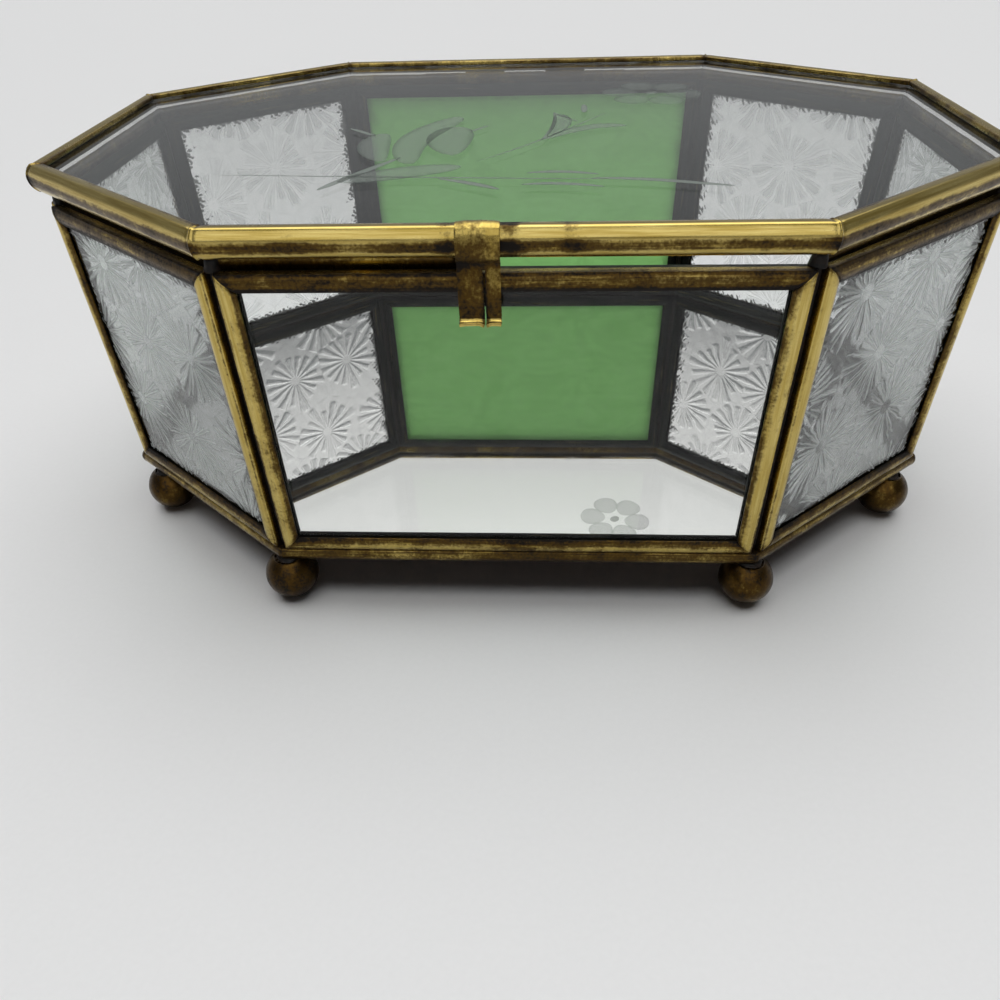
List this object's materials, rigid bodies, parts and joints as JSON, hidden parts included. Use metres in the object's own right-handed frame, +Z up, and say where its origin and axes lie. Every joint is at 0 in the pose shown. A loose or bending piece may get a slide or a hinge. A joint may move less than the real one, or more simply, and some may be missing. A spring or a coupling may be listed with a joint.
{
  "type": "glass casket box",
  "caption": "Elongated octagonal casket box with glass walls in brass channels, a hinged glass lid with a front clasp, a mirror base and ball feet.",
  "frame": {"origin": "middle of the footprint, on the surface that the feet stand on", "axes": "+X along the length to the viewer's right, -Y towards the front with the clasp, +Z up"},
  "size_m": [0.2082, 0.148, 0.0905],
  "materials": {
    "brass": "antique brass, satin with brown patina",
    "dull_brass": "antique brass, dulled and darkened",
    "solder": "blackened soft solder, satin",
    "clear_glass": "clear, polished; the lid has a shallow wheel-cut floral spray",
    "pattern_glass": "clear, pressed all over with a radiating star relief",
    "green_glass": "wispy translucent green, polished",
    "mirror": "silvered glass, polished"
  },
  "bodies": {
    "box": {"base_mirror": "mirror", "base_channel": "dull_brass", "front_pane": "clear_glass", "front_right_pane": "pattern_glass", "right_pane": "pattern_glass", "rear_right_pane": "pattern_glass", "rear_pane": "green_glass", "rear_left_pane": "pattern_glass", "left_pane": "pattern_glass", "front_left_pane": "pattern_glass", "front_channel": "brass", "front_right_channel": "brass", "right_channel": "brass", "rear_right_channel": "brass", "rear_channel": "brass", "rear_left_channel": "brass", "left_channel": "brass", "front_left_channel": "brass", "corner_seam_1": "solder", "corner_seam_2": "solder", "corner_seam_3": "solder", "corner_seam_4": "solder", "corner_seam_5": "solder", "corner_seam_6": "solder", "corner_seam_7": "solder", "corner_seam_8": "solder", "foot_1": "dull_brass", "foot_2": "dull_brass", "foot_3": "dull_brass", "foot_4": "dull_brass", "foot_5": "dull_brass", "foot_6": "dull_brass", "foot_7": "dull_brass", "foot_8": "dull_brass", "foot_collars": "solder", "box_knuckles": "brass", "hinge_pin": "brass"},
    "lid": {"lid_pane": "clear_glass", "lid_channel": "brass", "lid_knuckles": "brass", "clasp": "brass"}
  },
  "joints": [
    {"name": "lid_hinge", "type": "hinge", "parent": "box", "child": "lid", "pos_m": [0, 0.0689, 0.08254], "axis": [-1, 0, 0], "range_deg": [0, 100]}
  ]
}
